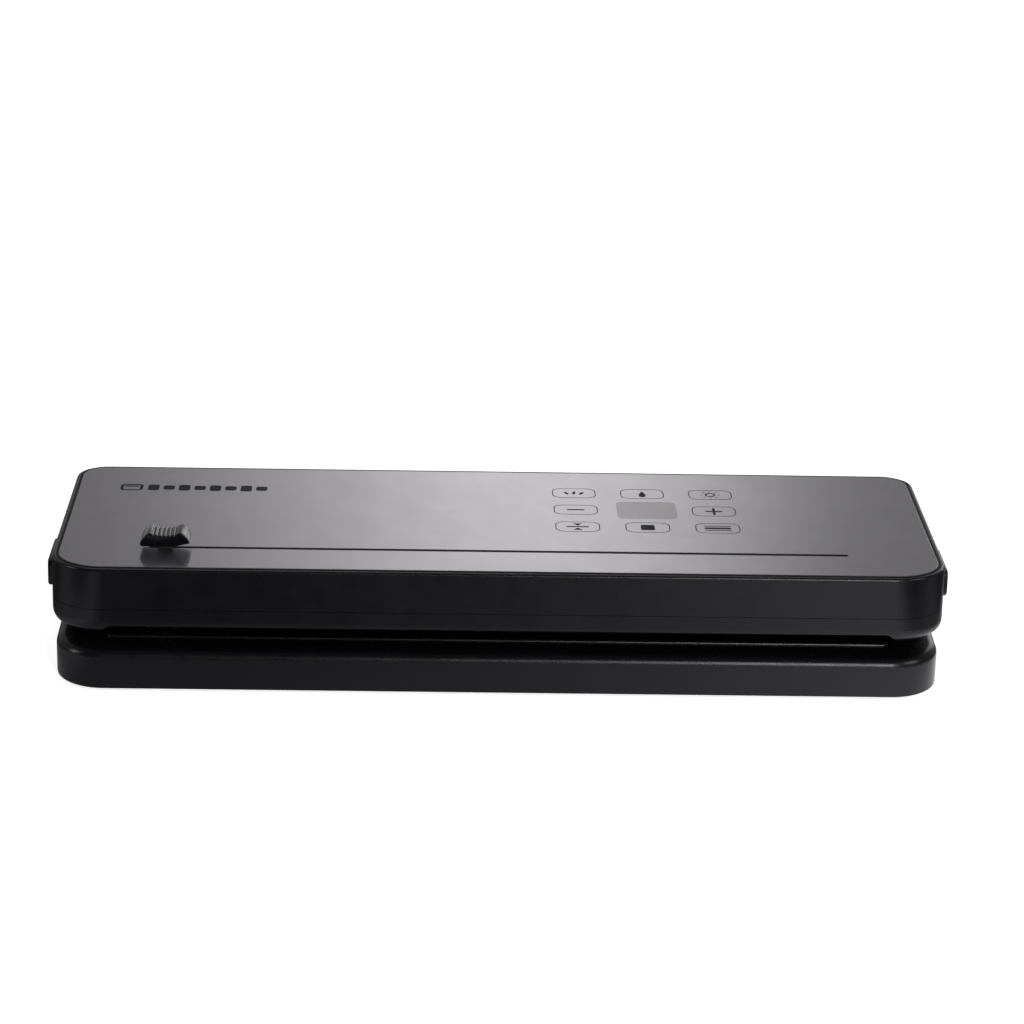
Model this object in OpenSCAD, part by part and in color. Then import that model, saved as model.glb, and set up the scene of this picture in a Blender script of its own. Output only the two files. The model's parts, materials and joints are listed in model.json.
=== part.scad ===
// Vacuum sealer: a thick hinged lid over a slim base, with a sliding film cutter,
// two side release buttons and a glass touch panel. Millimetres, +Z up.
// The lid stands a few degrees open, as it does before it is pressed down and latched.
// Everything is drawn closed, with Y = 0 at the lid's front face, and moved at the end.

/* [Body] */
// Width of the lid, left to right
lid_w = 390; // [386:1:396]
// Depth of the lid, front to back
lid_d = 149; // [148:0.5:151]
// Height of the closed body above its feet
body_h = 49; // [49:0.5:51]
// Height of the base above its feet
base_h = 18; // [18:0.25:18.5]
// Height of the lid's lower shell, up to the seam
lower_shell_h = 11.6; // [11.4:0.1:12]
// Radius of the body's front corners, seen from above
corner_r = 23; // [22:0.5:24]
// Radius of its rear corners
rear_r = 14.5; // [14:0.5:16]
// How far the base stands in from the lid on each side
base_inset = 1.25; // [1:0.05:1.5]
// Wall of the casings
wall = 2.2; // [2:0.1:2.4]
// Rounding of the base's top edge
base_edge_r = 4; // [3:0.5:5]
// Rounding of the lid's bottom edge
lid_edge_r = 6; // [5:0.5:7]
// How far the rubber feet stand out
foot_h = 1; // [0.8:0.1:1.5]

/* [Hinge] */
// Angle at which the unlatched lid stands
lid_raise = 3; // [2.95:0.01:3.1]
// Radius of the lid's hinge barrel
barrel_r = 6.5; // [6.3:0.1:6.6]
// Radius of the hinge pins
pin_r = 2.5; // [2:0.1:2.6]

/* [Top panel] */
// Width of the rim round the panel
rim_w = 1.8; // [1.6:0.1:2.2]
// Gap between the rim and the panel
rim_gap = 1; // [0.8:0.1:1.2]
// Thickness of the glass panel
glass_t = 1.8; // [1.5:0.1:2]
// Distance from the lid's front to the cutter's slot
cutter_y = 30; // [29.5:0.25:30.5]
// Length of the cutter's slot
slot_l = 307; // [300:1:308]
// Width of the cutter's slot
slot_w = 2.8; // [2.5:0.1:3]
// Place of the display's centre, left to right
display_x = 68; // [66:1:70]
// Place of the display's centre, front to back
display_y = 90.5; // [88:0.5:92]

/* [Moving parts] */
// Where the cutter's knob stands, left to right
cutter_x = -146; // [-149:1:149]
// Length of the cutter's knob
knob_l = 22; // [20:0.5:24]
// How far a release button travels
button_travel = 2.2; // [2:0.1:2.3]

/* [Hidden] */
$fn = 64;

// Colours
body_black = [0.035, 0.035, 0.038];
glass_grey = [0.42, 0.41, 0.42];
window_grey = [0.55, 0.55, 0.55];
rubber_black = [0.05, 0.05, 0.05];
silicone_red = [0.55, 0.16, 0.12];
foam_grey = [0.16, 0.16, 0.17];
board_green = [0.05, 0.28, 0.13];
part_dark = [0.08, 0.08, 0.09];
steel = [0.7, 0.7, 0.72];
tape_brown = [0.36, 0.24, 0.14];
hose_clear = [0.8, 0.82, 0.82];
copper = [0.75, 0.45, 0.25];

// Heights
eps = 0.01;
mid_y = lid_d / 2;
deck_z = foot_h + base_h;
lid_z0 = deck_z + 0.4;
seam_z = lid_z0 + lower_shell_h;
seam_gap = 0.2;
top_z = foot_h + body_h;
rim_edge_r = 1.2;
rim_z = top_z - 0.5;
panel_z1 = top_z - 0.2;
roof_z1 = panel_z1 - glass_t;
roof_z0 = roof_z1 - 2;
floor_z = lid_z0 + wall;

// Base
plate_t = 2.5;
plate_z1 = foot_h + plate_t;
chamber_y = 93;
chamber_w = 330;
chamber_d = 50;
chamber_z = 9.6;
gasket_w = 346;
gasket_d = 66;
gasket_corner = 15;
gasket_t = 7;
gasket_depth = 3;
gasket_proud = 1.2;
strip_y = 47;
strip_l = 330;
strip_t = 8;
ridge_y = 17.8;
ridge_l = 342;
ridge_w = 3.2;
ridge_h = 1.2;
foot_r = 7;
foot_points = [for (x = [-165, 165], y = [22, 122]) [x, y]];
base_screw_points = [for (x = [-1, 1], p = [[120, 9], [183, 66], [120, 132.5]]) [x * p[0], p[1]]];

// Hinge
hinge_y = lid_d - barrel_r - 0.15;
hinge_z = deck_z + 2;
scoop_r = barrel_r + 0.8;
scoop_wall_r = scoop_r + wall;
ear_x = 105;
ear_w = 8;
ear_r = 5.3;
pin_l = 40;
pin_bore_r = pin_r + 0.05;
spring_x = ear_x + ear_w / 2 + 3.5;
barrel_l = lid_w - 2 * rear_r - 15;
hinge_gap_x0 = ear_x - ear_w / 2 - 0.7;
hinge_gap_x1 = spring_x + 3.5;

// Lid
notch_w = 347;
notch_h = 4.1;
notch_d = 22;
channel_w = 10;
channel_l = 332;
rib_t = 1.4;
heater_depth = 4;
lid_boss_front = [for (x = [-150, -50, 50, 150]) [x, 13]];
lid_boss_rear = [for (x = [-160, -60, 60, 160]) [x, 132.6]];
display_w = 27;
display_d = 25;
display_r = 4;
key_pitch_x = 31.5;
key_pitch_y = 24.7;
key_points = [
    for (i = [-1, 0, 1], j = [-1, 0, 1]) if (i != 0 || j != 0)
        [display_x + i * key_pitch_x, display_y + j * key_pitch_y]
];
board_z = roof_z0 - 4;
board_t = 1.6;

// Latches, given for the right side
button_y = 41;
button_l = 32;
button_z0 = 32.6;
button_z1 = 45;
button_proud = 2.5;
hook_x = 186.2;
hook_t = 2.4;
hook_w = 16;
nose_z0 = 14.3;
nose_z1 = 16.6;
nose_proud = 2;
latch_slot_x0 = hook_x - hook_t / 2 - button_travel - 0.4;
latch_slot_x1 = 188;
spring_z = 39;
spring_stop_x = 175.2;

// Inlet, pump and valve
inlet_x = 140;
inlet_z = 39;
pump_x = -150;
pump_y = 93;
pump_z = 34.6;
motor_r = 11.3;
motor_l = 32;
shaft_r = 1;
valve_x = -104;
valve_y = 92;

// The frame's origin is under the middle of the body's outline, on the surface that it stands on
front_y = hinge_y + cos(lid_raise) * (lid_edge_r - hinge_y)
    + sin(lid_raise) * (lid_z0 + lid_edge_r - hinge_z) - lid_edge_r;
rear_y = hinge_y + cos(lid_raise) * (lid_d - rim_edge_r - hinge_y)
    + sin(lid_raise) * (rim_z - rim_edge_r - hinge_z) + rim_edge_r;
frame_y = (front_y + rear_y) / 2;

// ---------- placing ----------

module placed() {
    translate([0, -frame_y, 0]) children();
}

module raised() {
    placed() translate([0, hinge_y, hinge_z]) rotate([-lid_raise, 0, 0])
        translate([0, -hinge_y, -hinge_z]) children();
}

module both_sides() {
    children();
    mirror([1, 0, 0]) children();
}

module at_points(points) {
    for (p = points) translate([p[0], p[1], 0]) children();
}

// ---------- shared shapes ----------

module rounded_rect(w, d, r) {
    square([w - 2 * r, d], center = true);
    square([w, d - 2 * r], center = true);
    for (x = [-1, 1], y = [-1, 1])
        translate([x * (w / 2 - r), y * (d / 2 - r)]) circle(r);
}

// A strip with round ends
module strip(l, w, z0, z1) {
    translate([0, 0, z0]) linear_extrude(z1 - z0) {
        square([l - w, w], center = true);
        for (x = [-1, 1]) translate([x * (l - w) / 2, 0]) circle(w / 2);
    }
}

module plate(w, d, r, z0, z1) {
    translate([0, 0, z0]) linear_extrude(z1 - z0) rounded_rect(w, d, r);
}

module ring(w, d, r, t, z0, z1) {
    difference() {
        plate(w + t, d + t, r + t / 2, z0, z1);
        plate(w - t, d - t, r - t / 2, z0 - 1, z1 + 1);
    }
}

// Half of a slab's cross-section, out from a corner's centre, with its outer edges rounded
module edge_profile(r, h, rb, rt) {
    difference() {
        square([r, h]);
        if (rb > 0) difference() {
            translate([r - rb, -1]) square([rb + 1, rb + 1]);
            translate([r - rb, rb]) circle(rb);
        }
        if (rt > 0) difference() {
            translate([r - rt, h - rt]) square([rt + 1, rt + 1]);
            translate([r - rt, h - rt]) circle(rt);
        }
    }
}

// A slab with its corners rounded, more in front than behind, and its bottom and top edges rounded
module slab(w, d, front, rear, z0, z1, rb = 0, rt = 0) {
    h = z1 - z0;
    translate([0, 0, z0]) {
        translate([rear - w / 2, front - d / 2, 0]) cube([w - 2 * rear, d - front - rear, h]);
        translate([front - w / 2, front - d / 2, 0]) mirror([0, 1, 0]) rotate([90, 0, 90])
            linear_extrude(w - 2 * front) edge_profile(front, h, rb, rt);
        translate([rear - w / 2, d / 2 - rear, 0]) rotate([90, 0, 90])
            linear_extrude(w - 2 * rear) edge_profile(rear, h, rb, rt);
        both_sides() {
            translate([w / 2 - rear, d / 2 - rear, 0]) rotate([90, 0, 0])
                linear_extrude(d - front - rear) edge_profile(rear, h, rb, rt);
            translate([w / 2 - rear, d / 2 - rear, 0])
                rotate_extrude(angle = 90) edge_profile(rear, h, rb, rt);
            translate([w / 2 - front, front - d / 2, 0]) mirror([0, 1, 0])
                rotate_extrude(angle = 90) edge_profile(front, h, rb, rt);
        }
    }
}

// A slab with the body's outline, inset all round
module body_slab(inset, z0, z1, rb = 0, rt = 0) {
    translate([0, mid_y, 0])
        slab(lid_w - 2 * inset, lid_d - 2 * inset, corner_r - inset, rear_r - inset, z0, z1, rb, rt);
}

// A cylinder along X, from x0 to x1
module bar_x(r, x0, x1) {
    translate([x0, 0, 0]) rotate([0, 90, 0]) cylinder(r = r, h = x1 - x0);
}

module at_hinge() {
    translate([0, hinge_y, hinge_z]) children();
}

module block(x0, x1, y0, y1, z0, z1) {
    translate([x0, y0, z0]) cube([x1 - x0, y1 - y0, z1 - z0]);
}

// A round tube of radius r through the points of a path
function unit(v) = v / norm(v);
function path_dir(p, i) = unit(p[min(i + 1, len(p) - 1)] - p[max(i - 1, 0)]);
function any_normal(t) = unit(cross(t, abs(t[2]) < 0.9 ? [0, 0, 1] : [1, 0, 0]));
function carried(n, t) = unit(n - (n * t) * t);
function path_normals(p, i = 0, last = undef) =
    i == len(p) ? [] :
    let (t = path_dir(p, i), n = is_undef(last) ? any_normal(t) : carried(last, t))
        concat([n], path_normals(p, i + 1, n));

module tube(path, r, sides = 8) {
    normals = path_normals(path);
    points = [
        for (i = [0:len(path) - 1], k = [0:sides - 1])
            let (t = path_dir(path, i), n = normals[i], b = cross(t, n), a = 360 * k / sides)
                path[i] + r * (cos(a) * n + sin(a) * b)
    ];
    walls = [
        for (i = [0:len(path) - 2], k = [0:sides - 1])
            let (a = i * sides + k, b = i * sides + (k + 1) % sides)
                [a, a + sides, b + sides, b]
    ];
    near = [for (k = [0:sides - 1]) k];
    far = [for (k = [sides - 1:-1:0]) (len(path) - 1) * sides + k];
    polyhedron(points, concat([near], walls, [far]));
}

// Points of a round coil about Z
function helix(r, turns, pitch, steps) =
    [for (i = [0:turns * steps]) [r * cos(360 * i / steps), r * sin(360 * i / steps), pitch * i / steps]];

// A smooth path through chosen points
function spline_at(a, b, c, d, t) =
    0.5 * (2 * b + (c - a) * t + (2 * a - 5 * b + 4 * c - d) * t * t + (3 * b - a - 3 * c + d) * t * t * t);
function smooth(p, steps) = concat(
    [for (i = [0:len(p) - 2], k = [0:steps - 1])
        spline_at(p[max(i - 1, 0)], p[i], p[i + 1], p[min(i + 2, len(p) - 1)], k / steps)],
    [p[len(p) - 1]]
);

// ---------- base ----------

module base_outer() {
    body_slab(base_inset, foot_h, deck_z, 0.8, base_edge_r);
}

module base_cavity() {
    body_slab(base_inset + wall, foot_h - 1, deck_z - wall, 0, base_edge_r - wall);
}

module chamber_tub() {
    translate([0, chamber_y, 0]) {
        plate(chamber_w + 4, chamber_d + 4, 12, chamber_z - 2, deck_z - eps);
        ring(gasket_w, gasket_d, gasket_corner, gasket_t + 3, deck_z - gasket_depth - 2, deck_z - eps);
    }
    block(-strip_l / 2 - 4, strip_l / 2 + 4, strip_y - 6, strip_y + 6, deck_z - 5, deck_z - 1);
    block(-slot_l / 2 - 5, slot_l / 2 + 5, cutter_y - 4.5, cutter_y + 4.5, deck_z - 5.5, deck_z - 1);
}

module chamber_cuts() {
    translate([0, chamber_y, 0]) {
        plate(chamber_w, chamber_d, 10, chamber_z, deck_z + 1);
        ring(gasket_w, gasket_d, gasket_corner, gasket_t, deck_z - gasket_depth, deck_z + 1);
    }
    translate([0, strip_y, 0])
        strip(strip_l + 0.4, strip_t + 0.4, deck_z - 2.5, deck_z + 1);
    translate([0, cutter_y, 0]) strip(slot_l + 5.2, 5.2, deck_z - 3.5, deck_z + 1);
    both_sides() block(latch_slot_x0, latch_slot_x1, button_y - 9, button_y + 9, deck_z - 4, deck_z + 1);
}

module hinge_ears() {
    at_hinge() both_sides() difference() {
        union() {
            bar_x(ear_r, ear_x - ear_w / 2, ear_x + ear_w / 2);
            block(ear_x - ear_w / 2, ear_x + ear_w / 2, -4.5, 2, -scoop_r - 0.6, -1);
        }
        bar_x(pin_bore_r, ear_x - ear_w, ear_x + ear_w);
    }
}

module base_shell() {
    color(body_black) {
        difference() {
            union() {
                difference() {
                    base_outer();
                    base_cavity();
                }
                intersection() {
                    base_outer();
                    union() {
                        chamber_tub();
                        at_hinge() bar_x(scoop_wall_r, -lid_w / 2, lid_w / 2);
                        at_points(base_screw_points) translate([0, 0, plate_z1]) cylinder(r = 3.5, h = 14.5);
                        translate([176, 70, 12]) cylinder(r = 4.6, h = 6);
                    }
                }
            }
            at_hinge() bar_x(scoop_r, -lid_w / 2 - 1, lid_w / 2 + 1);
            chamber_cuts();
            at_points(base_screw_points) cylinder(r = 1.45, h = 13);
            translate([176, 70, 11]) cylinder(r = 3.1, h = 5);
        }
        // Ridge that the bag's mouth is slid over
        translate([0, ridge_y, 0])
            slab(ridge_l, ridge_w, ridge_w * 0.49, ridge_w * 0.49, deck_z - 1, deck_z + ridge_h, 0, 1);
        hinge_ears();
    }
}

module base_bottom_plate() {
    color(body_black) difference() {
        body_slab(base_inset + wall + 0.2, foot_h, plate_z1 - 0.05);
        at_points(foot_points) cylinder(r = foot_r + 0.1, h = foot_h + 1.2);
        at_points(base_screw_points) {
            cylinder(r = 1.6, h = 5);
            cylinder(r = 2.9, h = foot_h + 1.4);
        }
    }
}

module rubber_feet() {
    color(rubber_black) at_points(foot_points) {
        cylinder(r = foot_r - 0.4, h = 0.4 + eps);
        translate([0, 0, 0.4]) cylinder(r = foot_r, h = foot_h + 0.8);
    }
}

// A round-headed screw with its head's face at z0 and its tip at z1, with a cross recess
module screw(z0, z1, head_r, shank_r) {
    difference() {
        union() {
            translate([0, 0, z0]) cylinder(r = head_r, h = 1.2);
            translate([0, 0, z0]) cylinder(r = shank_r, h = z1 - z0);
        }
        for (a = [0, 90]) rotate(a) translate([0, 0, z0]) cube([head_r * 1.2, 0.6, 1.4], center = true);
    }
}

module base_screws() {
    color(steel) at_points(base_screw_points) screw(foot_h + 0.2, 12.5, 2.7, 1.4);
}

module lower_gasket() {
    color(foam_grey) translate([0, chamber_y, 0]) {
        ring(gasket_w, gasket_d, gasket_corner, gasket_t - 0.4, deck_z - gasket_depth, deck_z + 0.4);
        ring(gasket_w, gasket_d, gasket_corner, gasket_t - 2, deck_z, deck_z + gasket_proud);
    }
}

module silicone_seal_strip() {
    color(silicone_red) translate([0, strip_y, 0]) {
        strip(strip_l, strip_t, deck_z - 2.5, deck_z + 0.1);
        for (y = [-2.4, 0, 2.4]) translate([0, y, 0]) strip(strip_l - 8, 1, deck_z, deck_z + 0.4);
    }
}

module cutting_track() {
    color(part_dark) translate([0, cutter_y, 0]) difference() {
        strip(slot_l + 5, 5, deck_z - 3.5, deck_z);
        strip(slot_l - 1, 1.6, deck_z - 2.9, deck_z + 1);
    }
}

module lid_magnet() {
    color(steel) translate([176, 70, 12.9]) cylinder(r = 3, h = 3);
}

module hinge_pins() {
    color(steel) at_hinge() both_sides() bar_x(pin_r, ear_x - pin_l / 2, ear_x + pin_l / 2);
}

// Torsion springs that lift the unlatched lid: one leg on the base, one under the lid
module hinge_springs() {
    coil_r = 3.6;
    wire_r = 0.45;
    color(steel) at_hinge() both_sides() translate([spring_x - 2.6, 0, 0]) {
        coil = [for (p = helix(coil_r, 5, 1, 16)) [p[2], p[0], p[1]]];
        last = coil[len(coil) - 1];
        tube(concat([[0, 2, -6.8], [0, 3.6, -2.5]], coil, [last + [0, 0.05, 1.2], last + [0, 0, 3]]),
            wire_r, 6);
    }
}

// ---------- lid casings ----------

module notch_profile() {
    half = notch_w / 2;
    polygon([[-half - 1, -1], [half + 1, -1], [half - 3.2, 3.2], [half - 4.4, notch_h - 0.2],
        [half - 5.8, notch_h], [5.8 - half, notch_h], [4.4 - half, notch_h - 0.2], [3.2 - half, 3.2]]);
}

module notch() {
    translate([0, notch_d, lid_z0]) rotate([90, 0, 0]) linear_extrude(notch_d + 1) notch_profile();
}

// Walls that close the cutter's channel off from the inside of the lid
module channel_walls() {
    translate([0, cutter_y, 0]) difference() {
        block(-channel_l / 2 - rib_t, channel_l / 2 + rib_t,
            -channel_w / 2 - rib_t, channel_w / 2 + rib_t, floor_z - 1, roof_z0 - 0.1);
        block(-channel_l / 2, channel_l / 2, -channel_w / 2, channel_w / 2, floor_z, roof_z0 + 1);
    }
}

module lid_floor_parts() {
    translate([0, chamber_y, 0])
        ring(gasket_w, gasket_d, gasket_corner, gasket_t + 3, floor_z - 1, floor_z + 2);
    block(-strip_l / 2 - 4, strip_l / 2 + 4, strip_y - 7, strip_y + 7,
        floor_z - 1, lid_z0 + heater_depth + 2);
    block(-notch_w / 2 - 2, notch_w / 2 + 2, 1, notch_d + 2, floor_z - 1, lid_z0 + notch_h + 2);
    channel_walls();
    // Cradle ribs under the pump's motor
    for (x = [8, 22]) difference() {
        block(pump_x + x, pump_x + x + 3, pump_y - 10, pump_y + 10, floor_z - 1, pump_z - 6);
        translate([0, pump_y, pump_z]) bar_x(motor_r + 0.1, pump_x, pump_x + motor_l + 1);
    }
    // Standoffs under the power board
    for (x = [-84, -14], y = [74, 116]) translate([x, y, floor_z - 1]) cylinder(r = 3, h = 5.3);
    // Nipples over the chamber's two ports
    translate([-120, 72, floor_z - 1]) cylinder(r = 2.2, h = 7);
    translate([valve_x, valve_y, floor_z - 1]) cylinder(r = 3, h = 3);
}

module hinge_barrel() {
    at_hinge() bar_x(barrel_r, -barrel_l / 2, barrel_l / 2);
}

module lid_bottom_shell() {
    color(body_black) difference() {
        union() {
            difference() {
                body_slab(0, lid_z0, seam_z - seam_gap / 2, lid_edge_r);
                body_slab(wall, floor_z, seam_z + 1, lid_edge_r - wall);
            }
            intersection() {
                body_slab(1, lid_z0 + 1, top_z, lid_edge_r - 1);
                lid_floor_parts();
            }
            hinge_barrel();
            // Lip that locates the upper shell
            difference() {
                union() {
                    body_slab(wall - 0.3, seam_z - 3, seam_z - 0.6);
                    body_slab(wall + 0.1, seam_z - 2, seam_z + 0.9);
                }
                body_slab(wall + 1.3, seam_z - 4, seam_z + 2);
            }
        }
        notch();
        translate([0, chamber_y, 0])
            ring(gasket_w, gasket_d, gasket_corner, gasket_t, lid_z0 - 1, lid_z0 + 2);
        translate([0, strip_y, 0]) strip(strip_l + 4, 9, lid_z0 - 1, lid_z0 + heater_depth);
        translate([0, cutter_y, 0]) strip(slot_l + 4, 2.4, lid_z0 - 2, floor_z + 1);
        both_sides() block(latch_slot_x0 - 0.4, latch_slot_x1 + 2, button_y - 9, button_y + 9,
            lid_z0 - 1, seam_z - 3.5);
        // Room for the base's hinge ears and springs, and bores for the pins
        at_hinge() both_sides() {
            bar_x(ear_r + 0.7, hinge_gap_x0, hinge_gap_x1);
            block(hinge_gap_x0, hinge_gap_x1, -barrel_r - 1, barrel_r + 1, -barrel_r - 1, 0);
            bar_x(pin_bore_r, ear_x - pin_l / 2 - 0.5, ear_x + pin_l / 2 + 0.5);
        }
        // Ports into the vacuum chamber
        translate([-120, 72, 0]) cylinder(r = 1.2, h = 40);
        translate([valve_x, valve_y, 0]) cylinder(r = 1.2, h = 40);
        // Screws
        at_points(concat(lid_boss_front, lid_boss_rear)) cylinder(r = 1.7, h = 40);
        at_points(lid_boss_front) cylinder(r = 2.9, h = lid_z0 + notch_h + 1);
        at_points(lid_boss_rear) cylinder(r = 2.9, h = lid_z0 + 1.3);
    }
}

module button_window(r) {
    translate([0, button_y, (button_z0 + button_z1) / 2]) rotate([90, 0, 90])
        linear_extrude(lid_w) rounded_rect(button_l + 0.6, button_z1 - button_z0 + 0.6, r);
}

module lid_top_shell() {
    boss_r = 3.5;
    color(body_black) difference() {
        union() {
            difference() {
                body_slab(0, seam_z + seam_gap / 2, rim_z, 0, rim_edge_r);
                body_slab(wall, seam_z - 1, roof_z0);
            }
            at_points(lid_boss_front) translate([0, 0, lid_z0 + notch_h + 2.1])
                cylinder(r = boss_r, h = roof_z0 + 1 - lid_z0 - notch_h - 2.1);
            at_points(lid_boss_rear) translate([0, 0, floor_z + 2.1])
                cylinder(r = boss_r - 0.6, h = roof_z0 - floor_z - 1.1);
            // Stops behind the latch springs
            both_sides() block(spring_stop_x - 2, spring_stop_x, button_y - 8, button_y + 8, 34, roof_z0 + 1);
            // Posts that hold the control board
            for (x = [14, 122], y = [52, 125]) translate([x, y, board_z + board_t + 0.05])
                cylinder(r = 2.5, h = roof_z0 - board_z - board_t + 1);
        }
        body_slab(rim_w, roof_z1, top_z + 1);
        translate([0, cutter_y, 0]) strip(slot_l + 8, 7, roof_z0 - 1, roof_z1 + 1);
        // Window over the display and the touch springs
        translate([display_x, display_y, 0]) plate(96, 66, 5, roof_z0 - 1, roof_z1 + 1);
        both_sides() button_window(3.3);
        // Opening for the mains inlet
        translate([inlet_x, lid_d, inlet_z]) rotate([90, 0, 0])
            linear_extrude(10) rounded_rect(20.4, 11.4, 4);
        at_points(lid_boss_front) translate([0, 0, 20]) cylinder(r = 1.45, h = 22);
        at_points(lid_boss_rear) translate([0, 0, 20]) cylinder(r = 1.45, h = 22);
    }
}

module top_panel() {
    color(glass_grey) difference() {
        body_slab(rim_w + rim_gap, roof_z1 + 0.02, panel_z1, 0, 0.4);
        translate([0, cutter_y, 0]) strip(slot_l, slot_w, roof_z1 - 1, top_z + 1);
        translate([display_x, display_y, 0])
            plate(display_w + 0.1, display_d + 0.1, display_r, roof_z1 - 1, top_z + 1);
    }
}

module display_window() {
    color(window_grey) translate([display_x, display_y, 0])
        plate(display_w, display_d, display_r, roof_z1 + 0.02, panel_z1 - 0.02);
}

module lid_screws() {
    color(steel) {
        at_points(lid_boss_front) screw(lid_z0 + notch_h - 0.4, 36, 2.7, 1.4);
        at_points(lid_boss_rear) screw(lid_z0 + 0.05, 34, 2.7, 1.4);
    }
}

module upper_gasket() {
    color(foam_grey) translate([0, chamber_y, 0])
        ring(gasket_w, gasket_d, gasket_corner, gasket_t - 0.4, lid_z0 + 0.1, lid_z0 + 2);
}

// ---------- heat sealing bar ----------

module heater_bar() {
    color(steel) translate([0, strip_y, 0]) strip(strip_l + 2, 8, lid_z0 + 0.6, lid_z0 + heater_depth);
}

module heater_ribbon() {
    color(copper) translate([0, strip_y, 0]) strip(strip_l - 2, 3, lid_z0 + 0.4, lid_z0 + 0.6);
}

module heater_tape() {
    color(tape_brown) translate([0, strip_y, 0]) plate(strip_l + 1, 8.4, 2, lid_z0 + 0.2, lid_z0 + 0.4);
}

// ---------- controls ----------

module display_module() {
    color(part_dark) translate([display_x, display_y, 0])
        plate(display_w - 1, display_d - 1, 1, board_z + board_t, roof_z1 - 0.1);
}

module control_board() {
    color(board_green) difference() {
        block(10, 126, 48, 129, board_z, board_z + board_t);
        for (x = [14, 122], y = [52, 125]) translate([x, y, board_z - 1]) cylinder(r = 1.2, h = 4);
    }
}

module control_parts() {
    z = board_z;
    color(part_dark) {
        block(58, 70, 84, 96, z - 1.6, z);
        block(84, 92, 60, 66, z - 1.4, z);
        block(28, 44, 100, 106, z - 6, z);
        translate([104, 110, z - 5]) cylinder(r = 4.5, h = 5);
        for (x = [30, 38, 46]) translate([x, 76, z - 3]) cylinder(r = 2, h = 3);
    }
}

module touch_springs() {
    color(steel) at_points(key_points) translate([0, 0, board_z + board_t + 0.45])
        tube(helix(3, 4, 0.86, 10), 0.3, 5);
}

module power_board() {
    color(board_green) difference() {
        block(-88, -10, 70, 120, floor_z + 4.4, floor_z + 6);
        for (x = [-84, -14], y = [74, 116]) translate([x, y, floor_z]) cylinder(r = 1.4, h = 10);
    }
}

module power_parts() {
    z = floor_z + 6;
    color(part_dark) {
        block(-72, -50, 84, 106, z, z + 15);
        block(-34, -20, 76, 88, z, z + 12);
        translate([0, 98, z + 6.5]) bar_x(6, -42, -20);
        translate([-78, 78, z]) cylinder(r = 3.5, h = 9);
        block(-44, -30, 109, 117, z, z + 8);
    }
}

module lid_sensor() {
    color(board_green) block(170, 182, 66, 74, floor_z + 2.2, floor_z + 3.4);
    color(part_dark) block(174, 178, 68, 72, floor_z + 3.4, floor_z + 4.8);
}

// ---------- vacuum pump, valve and hoses ----------

module at_pump() {
    translate([pump_x, pump_y, pump_z]) children();
}

module pump_motor() {
    color(steel) at_pump() difference() {
        union() {
            bar_x(motor_r, 0, motor_l);
            bar_x(4, motor_l - eps, motor_l + 2);
        }
        bar_x(shaft_r + 0.05, -1, motor_l + 3);
    }
}

// The head is a box round the eccentric, with a valve cap and two nipples on top
module pump_head() {
    color(part_dark) at_pump() difference() {
        union() {
            block(-17, -0.1, -11, 11, -11, 11);
            block(-21, -17 + eps, -9, 9, -9, 9);
            translate([-9, -11, 6]) rotate([90, 0, 0]) cylinder(r = 1.8, h = 7);
            translate([-9, 11, 6]) rotate([-90, 0, 0]) cylinder(r = 1.8, h = 5);
        }
        bar_x(8.6, -14, 0.5);
        translate([-9, -19, 6]) rotate([-90, 0, 0]) cylinder(r = 1, h = 38);
    }
}

module pump_shaft() {
    color(steel) at_pump() bar_x(shaft_r, -12, motor_l + 3.5);
}

module pump_eccentric() {
    color(steel) at_pump() difference() {
        translate([0, 0, -2]) bar_x(5.5, -11, -3);
        bar_x(shaft_r, -12, -2);
    }
}

module valve_body() {
    color(part_dark) translate([valve_x, valve_y, 0]) {
        difference() {
            translate([0, 0, floor_z + 2.05]) cylinder(r = 7, h = 18);
            translate([0, 0, floor_z + 1]) cylinder(r = 1.2, h = 5);
            translate([0, 0, floor_z + 5]) cylinder(r = 3.05, h = 13);
        }
        difference() {
            translate([0, -6.5, floor_z + 5.5]) rotate([90, 0, 0]) cylinder(r = 1.8, h = 6);
            translate([0, -2, floor_z + 5.5]) rotate([90, 0, 0]) cylinder(r = 1, h = 12);
        }
    }
}

module valve_plunger() {
    color(steel) translate([valve_x, valve_y, floor_z + 5.3]) {
        cylinder(r = 3, h = 9);
        translate([0, 0, 9 - eps]) cylinder(r = 1.6, h = 1.5);
    }
}

// Routes of the hoses and leads inside the lid
vacuum_route = [[-159, 74.3, 40.6], [-159, 71, 40], [-152, 63, 37], [-138, 60, 34], [-125, 64, 33],
    [-120, 71, 32], [-120, 72, 28]];
vent_route = [[-104, 79.1, 27.3], [-104, 76, 27.3], [-108, 68, 29], [-122, 56, 33], [-150, 52, 33],
    [-165.6, 55, 33]];
mains_route = [[130, 124.5, 35.5], [110, 118, 31], [60, 112, 29], [10, 112, 29],
    [-9.5, 112, 29]];
heater_route = [[-9.5, 80, 29], [-4, 78, 29], [4, 68, 28], [6, 56, 27.5], [6, 50, 27.6]];
ribbon_route = [[-9.5, 96, 29], [-2, 96, 29], [10, 98, 31], [22, 102, 35], [27.8, 103, 37]];
lead_gap = 3.2;

module vacuum_hose() {
    color(hose_clear) tube(smooth(vacuum_route, 5), 2.6, 10);
}

module vent_hose() {
    color(hose_clear) tube(smooth(vent_route, 5), 2.6, 10);
}

module pressure_switch() {
    color(part_dark) {
        translate([-173, 55, 33]) sphere(5);
        translate([-173, 55, 33]) bar_x(1.6, 3, 7);
        block(-180, -169.3, 51, 59, floor_z + 2.1, 30);
    }
}

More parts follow.
